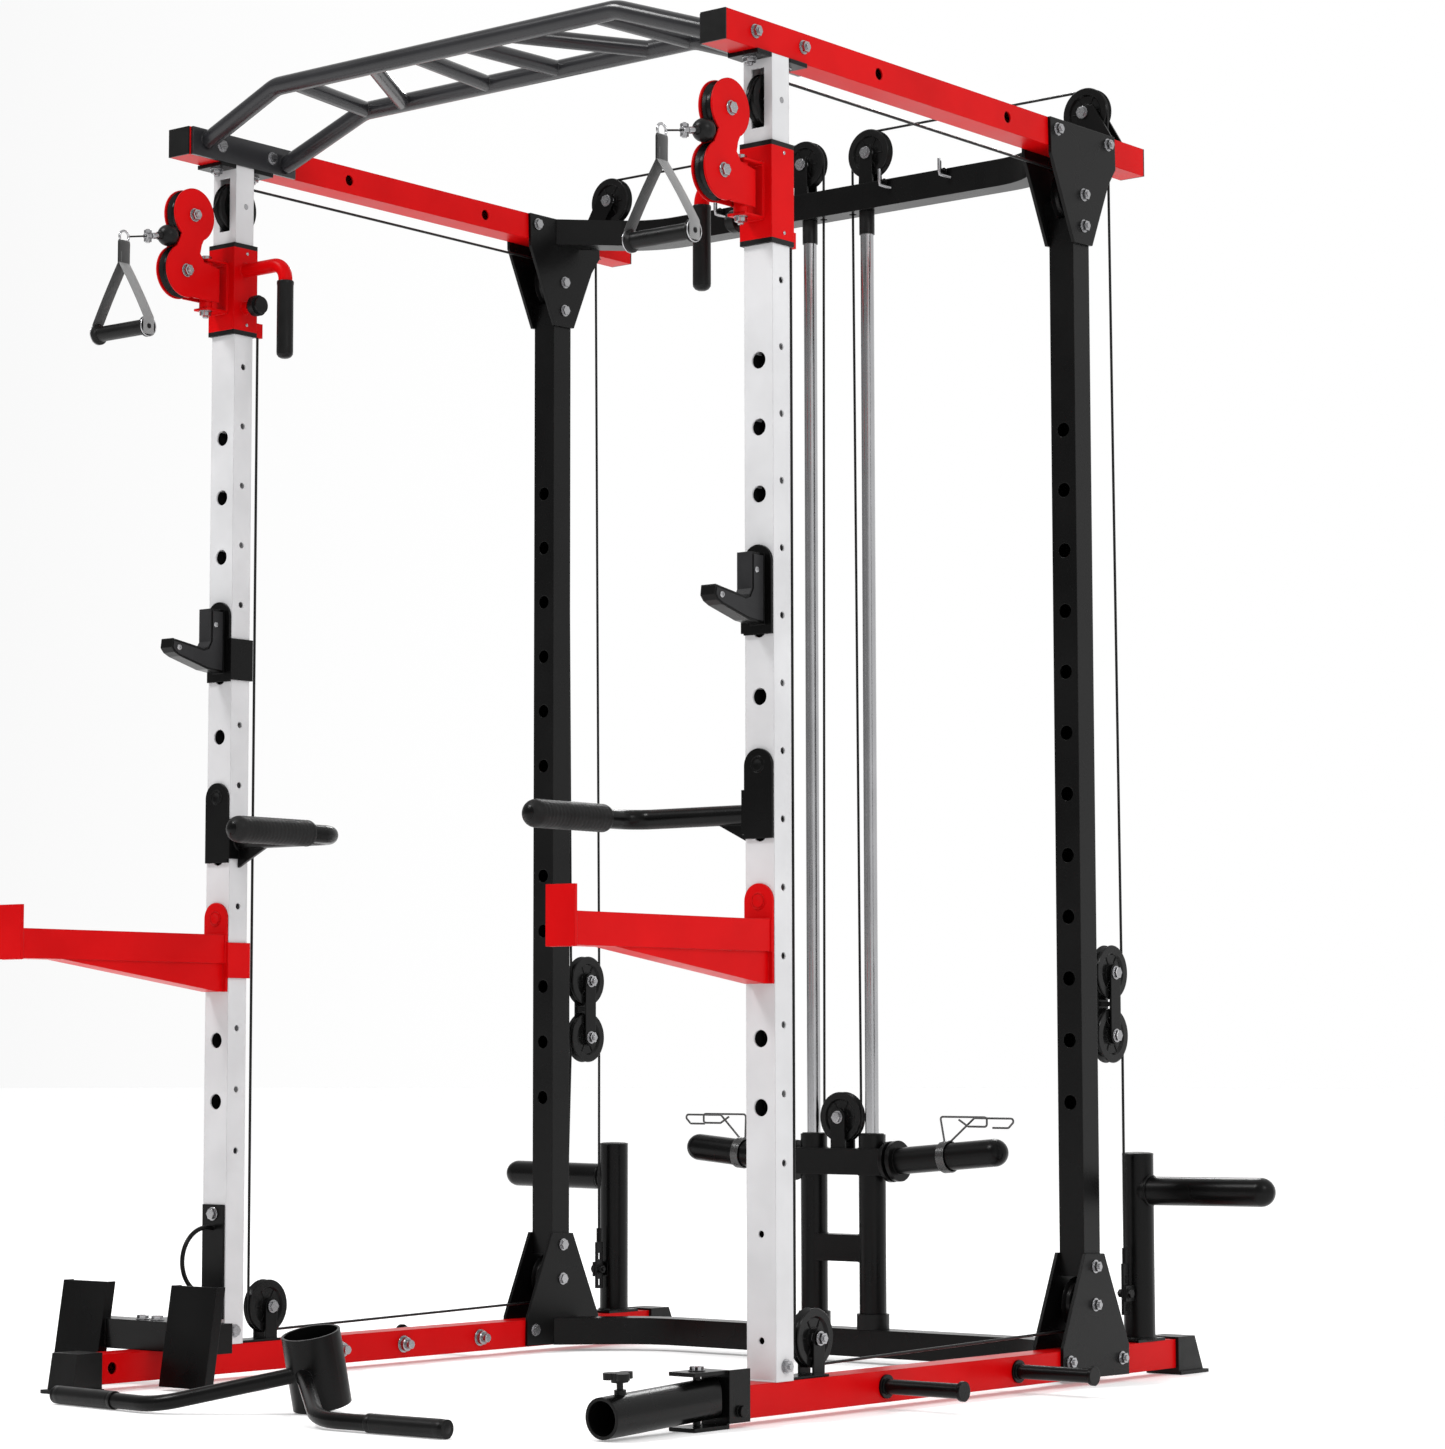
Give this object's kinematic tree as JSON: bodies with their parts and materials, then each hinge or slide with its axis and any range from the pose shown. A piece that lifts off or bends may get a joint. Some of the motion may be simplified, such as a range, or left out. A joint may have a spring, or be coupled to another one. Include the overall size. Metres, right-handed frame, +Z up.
{
  "type": "functional trainer",
  "caption": "Power cage with sliding cable trolleys, a plate-loaded carriage, pull-up bar, hooks, safety arms, dip bars and a landmine.",
  "frame": {"origin": "bottom centre of the whole machine, on the floor", "axes": "+X to the machine's right as seen from the front, +Y to the back, +Z up"},
  "size_m": [1.7528, 1.7776, 2.3025],
  "materials": {
    "red_paint": "gloss powder coat",
    "black_paint": "satin powder coat",
    "white_paint": "satin powder coat",
    "gunmetal_paint": "metallic powder coat",
    "chrome_steel": "polished",
    "zinc_steel": "bright zinc",
    "black_plastic": "moulded",
    "pulley_nylon": "turned nylon",
    "cable_jacket": "smooth jacket",
    "webbing": "woven"
  },
  "bodies": {
    "frame": {"base_rails": "red_paint", "top_rails": "red_paint", "caps_and_stops": "black_plastic", "front_uprights": "white_paint", "rear_uprights": "black_paint", "gusset_plates": "black_paint", "crossmembers": "black_paint", "pull_up_bar": "gunmetal_paint", "guide_rods": "chrome_steel", "storage_posts_and_pegs": "black_paint", "frame_bolts": "zinc_steel", "cable_hardware": "black_paint", "cables": "cable_jacket", "foot_plate_stand": "black_paint", "landmine_bracket": "black_paint"},
    "carriage": {"carriage": "black_paint"},
    "carriage_pulley": {"carriage_pulley": "pulley_nylon"},
    "top_pulleys": {"top_pulleys": "pulley_nylon"},
    "gusset_pulleys": {"gusset_pulleys": "pulley_nylon"},
    "t_bar_handle": {"t_bar_handle": "black_paint"},
    "landmine_sleeve": {"landmine_sleeve": "black_paint"},
    "landmine_knob": {"landmine_knob": "black_plastic"},
    "trolley_right": {"trolley_right": "red_paint", "trolley_plastics_right": "black_plastic"},
    "pop_pin_right": {"pop_pin_right": "black_plastic"},
    "swivel_right": {"swivel_frame_right": "red_paint"},
    "upper_swivel_pulley_right": {"upper_swivel_pulley_right": "pulley_nylon"},
    "lower_swivel_pulley_right": {"lower_swivel_pulley_right": "pulley_nylon"},
    "pull_link_right": {"pull_link_right": "zinc_steel"},
    "pull_handle_right": {"pull_handle_right": "webbing"},
    "crown_pulley_right": {"crown_pulley_right": "pulley_nylon"},
    "cross_pulley_right": {"cross_pulley_right": "pulley_nylon"},
    "rear_floor_pulley_right": {"rear_floor_pulley_right": "pulley_nylon"},
    "front_floor_pulley_right": {"front_floor_pulley_right": "pulley_nylon"},
    "floating_block_right": {"floating_block_right": "black_paint"},
    "upper_float_pulley_right": {"upper_float_pulley_right": "pulley_nylon"},
    "lower_float_pulley_right": {"lower_float_pulley_right": "pulley_nylon"},
    "j_hook_right": {"j_hook_right": "black_paint"},
    "dip_handle_right": {"dip_handle_right": "black_paint"},
    "spotter_arm_right": {"spotter_arm_right": "red_paint"},
    "spring_clip_right": {"spring_clip_right": "chrome_steel"},
    "trolley_left": {"trolley_left": "red_paint", "trolley_plastics_left": "black_plastic"},
    "pop_pin_left": {"pop_pin_left": "black_plastic"},
    "swivel_left": {"swivel_frame_left": "red_paint"},
    "upper_swivel_pulley_left": {"upper_swivel_pulley_left": "pulley_nylon"},
    "lower_swivel_pulley_left": {"lower_swivel_pulley_left": "pulley_nylon"},
    "pull_link_left": {"pull_link_left": "zinc_steel"},
    "pull_handle_left": {"pull_handle_left": "webbing"},
    "crown_pulley_left": {"crown_pulley_left": "pulley_nylon"},
    "cross_pulley_left": {"cross_pulley_left": "pulley_nylon"},
    "rear_floor_pulley_left": {"rear_floor_pulley_left": "pulley_nylon"},
    "front_floor_pulley_left": {"front_floor_pulley_left": "pulley_nylon"},
    "floating_block_left": {"floating_block_left": "black_paint"},
    "upper_float_pulley_left": {"upper_float_pulley_left": "pulley_nylon"},
    "lower_float_pulley_left": {"lower_float_pulley_left": "pulley_nylon"},
    "j_hook_left": {"j_hook_left": "black_paint"},
    "dip_handle_left": {"dip_handle_left": "black_paint"},
    "spotter_arm_left": {"spotter_arm_left": "red_paint"},
    "spring_clip_left": {"spring_clip_left": "chrome_steel"}
  },
  "joints": [
    {"name": "carriage_lift", "type": "slide", "parent": "frame", "child": "carriage", "axis": [0, 0, 1], "range_m": [0, 1.4], "deforming": ["cables"]},
    {"name": "carriage_pulley_spin", "type": "hinge", "parent": "carriage", "child": "carriage_pulley", "pos_m": [0, 0.66295, 0.448], "axis": [0, 1, 0], "continuous": true},
    {"name": "top_pulleys_spin", "type": "hinge", "parent": "frame", "child": "top_pulleys", "pos_m": [0, -0.34005, 2.074], "axis": [1, 0, 0], "range_deg": [-1900, 1900]},
    {"name": "gusset_pulleys_spin", "type": "hinge", "parent": "frame", "child": "gusset_pulleys", "pos_m": [0, 0.53295, 2.074], "axis": [1, 0, 0], "range_deg": [-1900, 1900]},
    {"name": "t_bar_handle_lift", "type": "slide", "parent": "frame", "child": "t_bar_handle", "axis": [0, 0, 1], "range_m": [0, 0.5]},
    {"name": "landmine_turn", "type": "hinge", "parent": "frame", "child": "landmine_sleeve", "pos_m": [0.603, -0.52505, 0.044], "axis": [0, 0, 1], "range_deg": [-40, 40]},
    {"name": "landmine_clamp_screw", "type": "hinge", "parent": "landmine_sleeve", "child": "landmine_knob", "pos_m": [0.603, -0.70384, 0.03526], "axis": [0, -0.0488, 0.9988], "range_deg": [0, 720]},
    {"name": "trolley_slide_right", "type": "slide", "parent": "frame", "child": "trolley_right", "axis": [0, 0, 1], "range_m": [-0.3201, 0]},
    {"name": "pop_pin_pull_right", "type": "slide", "parent": "trolley_right", "child": "pop_pin_right", "axis": [-1, 0, 0], "range_m": [0, 0.012], "stiffness_N_per_m": 600, "springref_m": -0.01},
    {"name": "swivel_turn_right", "type": "hinge", "parent": "trolley_right", "child": "swivel_right", "pos_m": [0.603, -0.41005, 1.924], "axis": [0, 0, 1], "range_deg": [-80, 80]},
    {"name": "upper_swivel_pulley_right_spin", "type": "hinge", "parent": "swivel_right", "child": "upper_swivel_pulley_right", "pos_m": [0.603, -0.45205, 2.042], "axis": [1, 0, 0], "range_deg": [-1900, 1900]},
    {"name": "lower_swivel_pulley_right_spin", "type": "hinge", "parent": "swivel_right", "child": "lower_swivel_pulley_right", "pos_m": [0.603, -0.47005, 1.94], "axis": [1, 0, 0], "continuous": true},
    {"name": "handle_pull_right", "type": "slide", "parent": "swivel_right", "child": "pull_link_right", "axis": [0, -1, 0], "range_m": [0, 1.4]},
    {"name": "handle_swing_right", "type": "hinge", "parent": "pull_link_right", "child": "pull_handle_right", "pos_m": [0.603, -0.60705, 1.979], "axis": [1, 0, 0], "range_deg": [-90, 30]},
    {"name": "crown_pulley_right_spin", "type": "hinge", "parent": "frame", "child": "crown_pulley_right", "pos_m": [0.5606, 0.66295, 2.256], "axis": [0, 1, 0], "range_deg": [-1900, 1900]},
    {"name": "cross_pulley_right_spin", "type": "hinge", "parent": "frame", "child": "cross_pulley_right", "pos_m": [0.0764, 0.66295, 2.256], "axis": [0, 1, 0], "range_deg": [-1900, 1900]},
    {"name": "rear_floor_pulley_right_spin", "type": "hinge", "parent": "frame", "child": "rear_floor_pulley_right", "pos_m": [0.603, 0.53195, 0.136], "axis": [1, 0, 0], "range_deg": [-900, 900]},
    {"name": "front_floor_pulley_right_spin", "type": "hinge", "parent": "frame", "child": "front_floor_pulley_right", "pos_m": [0.603, -0.23805, 0.1216], "axis": [1, 0, 0], "range_deg": [-900, 900]},
    {"name": "floating_block_slide_right", "type": "slide", "parent": "frame", "child": "floating_block_right", "axis": [0, 0, 1], "range_m": [-0.001, 0.1611]},
    {"name": "upper_float_pulley_right_spin", "type": "hinge", "parent": "floating_block_right", "child": "upper_float_pulley_right", "pos_m": [0.603, 0.63395, 0.7067], "axis": [1, 0, 0], "range_deg": [-1900, 1900]},
    {"name": "lower_float_pulley_right_spin", "type": "hinge", "parent": "floating_block_right", "child": "lower_float_pulley_right", "pos_m": [0.603, 0.63395, 0.5969], "axis": [1, 0, 0], "range_deg": [-900, 900]},
    {"name": "j_hook_right_turn", "type": "hinge", "parent": "frame", "child": "j_hook_right", "pos_m": [0.603, -0.34305, 1.335], "axis": [0, 1, 0], "range_deg": [0, 90]},
    {"name": "dip_handle_right_turn", "type": "hinge", "parent": "frame", "child": "dip_handle_right", "pos_m": [0.603, -0.34305, 1.0149], "axis": [0, 1, 0], "range_deg": [0, 60]},
    {"name": "spotter_arm_right_turn", "type": "hinge", "parent": "frame", "child": "spotter_arm_right", "pos_m": [0.603, -0.34305, 0.8015], "axis": [0, 1, 0], "range_deg": [0, 90]},
    {"name": "spring_clip_slide_right", "type": "slide", "parent": "carriage", "child": "spring_clip_right", "axis": [0.9962, 0, 0.0872], "range_m": [-0.08, 0.08]},
    {"name": "trolley_slide_left", "type": "slide", "parent": "frame", "child": "trolley_left", "axis": [0, 0, 1], "range_m": [-0.3201, 0]},
    {"name": "pop_pin_pull_left", "type": "slide", "parent": "trolley_left", "child": "pop_pin_left", "axis": [1, 0, 0], "range_m": [0, 0.012], "stiffness_N_per_m": 600, "springref_m": -0.01},
    {"name": "swivel_turn_left", "type": "hinge", "parent": "trolley_left", "child": "swivel_left", "pos_m": [-0.603, -0.41005, 1.924], "axis": [0, 0, 1], "range_deg": [-80, 80]},
    {"name": "upper_swivel_pulley_left_spin", "type": "hinge", "parent": "swivel_left", "child": "upper_swivel_pulley_left", "pos_m": [-0.603, -0.45205, 2.042], "axis": [1, 0, 0], "range_deg": [-1900, 1900]},
    {"name": "lower_swivel_pulley_left_spin", "type": "hinge", "parent": "swivel_left", "child": "lower_swivel_pulley_left", "pos_m": [-0.603, -0.47005, 1.94], "axis": [1, 0, 0], "continuous": true},
    {"name": "handle_pull_left", "type": "slide", "parent": "swivel_left", "child": "pull_link_left", "axis": [0, -1, 0], "range_m": [0, 1.4]},
    {"name": "handle_swing_left", "type": "hinge", "parent": "pull_link_left", "child": "pull_handle_left", "pos_m": [-0.603, -0.60705, 1.979], "axis": [1, 0, 0], "range_deg": [-90, 30]},
    {"name": "crown_pulley_left_spin", "type": "hinge", "parent": "frame", "child": "crown_pulley_left", "pos_m": [-0.5606, 0.66295, 2.256], "axis": [0, 1, 0], "range_deg": [-1900, 1900]},
    {"name": "cross_pulley_left_spin", "type": "hinge", "parent": "frame", "child": "cross_pulley_left", "pos_m": [-0.0764, 0.66295, 2.256], "axis": [0, 1, 0], "range_deg": [-1900, 1900]},
    {"name": "rear_floor_pulley_left_spin", "type": "hinge", "parent": "frame", "child": "rear_floor_pulley_left", "pos_m": [-0.603, 0.53195, 0.136], "axis": [1, 0, 0], "range_deg": [-900, 900]},
    {"name": "front_floor_pulley_left_spin", "type": "hinge", "parent": "frame", "child": "front_floor_pulley_left", "pos_m": [-0.603, -0.23805, 0.1216], "axis": [1, 0, 0], "range_deg": [-900, 900]},
    {"name": "floating_block_slide_left", "type": "slide", "parent": "frame", "child": "floating_block_left", "axis": [0, 0, 1], "range_m": [-0.001, 0.1611]},
    {"name": "upper_float_pulley_left_spin", "type": "hinge", "parent": "floating_block_left", "child": "upper_float_pulley_left", "pos_m": [-0.603, 0.63395, 0.7067], "axis": [1, 0, 0], "range_deg": [-1900, 1900]},
    {"name": "lower_float_pulley_left_spin", "type": "hinge", "parent": "floating_block_left", "child": "lower_float_pulley_left", "pos_m": [-0.603, 0.63395, 0.5969], "axis": [1, 0, 0], "range_deg": [-900, 900]},
    {"name": "j_hook_left_turn", "type": "hinge", "parent": "frame", "child": "j_hook_left", "pos_m": [-0.603, -0.34305, 1.335], "axis": [0, -1, 0], "range_deg": [0, 90]},
    {"name": "dip_handle_left_turn", "type": "hinge", "parent": "frame", "child": "dip_handle_left", "pos_m": [-0.603, -0.34305, 1.0149], "axis": [0, -1, 0], "range_deg": [0, 60]},
    {"name": "spotter_arm_left_turn", "type": "hinge", "parent": "frame", "child": "spotter_arm_left", "pos_m": [-0.603, -0.34305, 0.8015], "axis": [0, -1, 0], "range_deg": [0, 90]},
    {"name": "spring_clip_slide_left", "type": "slide", "parent": "carriage", "child": "spring_clip_left", "axis": [-0.9962, 0, 0.0872], "range_m": [-0.08, 0.08]}
  ],
  "couplings": [
    {"joint": "top_pulleys_spin", "follows": "carriage_lift", "rad_per_m": 23.585},
    {"joint": "gusset_pulleys_spin", "follows": "carriage_lift", "rad_per_m": 23.585},
    {"joint": "upper_swivel_pulley_right_spin", "follows": "carriage_lift", "rad_per_m": -23.585},
    {"joint": "handle_pull_right", "follows": "carriage_lift", "ratio": 1},
    {"joint": "crown_pulley_right_spin", "follows": "carriage_lift", "rad_per_m": 23.585},
    {"joint": "cross_pulley_right_spin", "follows": "carriage_lift", "rad_per_m": 23.585},
    {"joint": "rear_floor_pulley_right_spin", "follows": "trolley_slide_right", "rad_per_m": -23.585},
    {"joint": "front_floor_pulley_right_spin", "follows": "trolley_slide_right", "rad_per_m": -23.585},
    {"joint": "floating_block_slide_right", "follows": "trolley_slide_right", "ratio": -0.5},
    {"joint": "upper_float_pulley_right_spin", "follows": "carriage_lift", "rad_per_m": -23.585},
    {"joint": "lower_float_pulley_right_spin", "follows": "trolley_slide_right", "rad_per_m": 11.792},
    {"joint": "upper_swivel_pulley_left_spin", "follows": "carriage_lift", "rad_per_m": -23.585},
    {"joint": "handle_pull_left", "follows": "carriage_lift", "ratio": 1},
    {"joint": "crown_pulley_left_spin", "follows": "carriage_lift", "rad_per_m": -23.585},
    {"joint": "cross_pulley_left_spin", "follows": "carriage_lift", "rad_per_m": -23.585},
    {"joint": "rear_floor_pulley_left_spin", "follows": "trolley_slide_left", "rad_per_m": -23.585},
    {"joint": "front_floor_pulley_left_spin", "follows": "trolley_slide_left", "rad_per_m": -23.585},
    {"joint": "floating_block_slide_left", "follows": "trolley_slide_left", "ratio": -0.5},
    {"joint": "upper_float_pulley_left_spin", "follows": "carriage_lift", "rad_per_m": -23.585},
    {"joint": "lower_float_pulley_left_spin", "follows": "trolley_slide_left", "rad_per_m": 11.792}
  ]
}
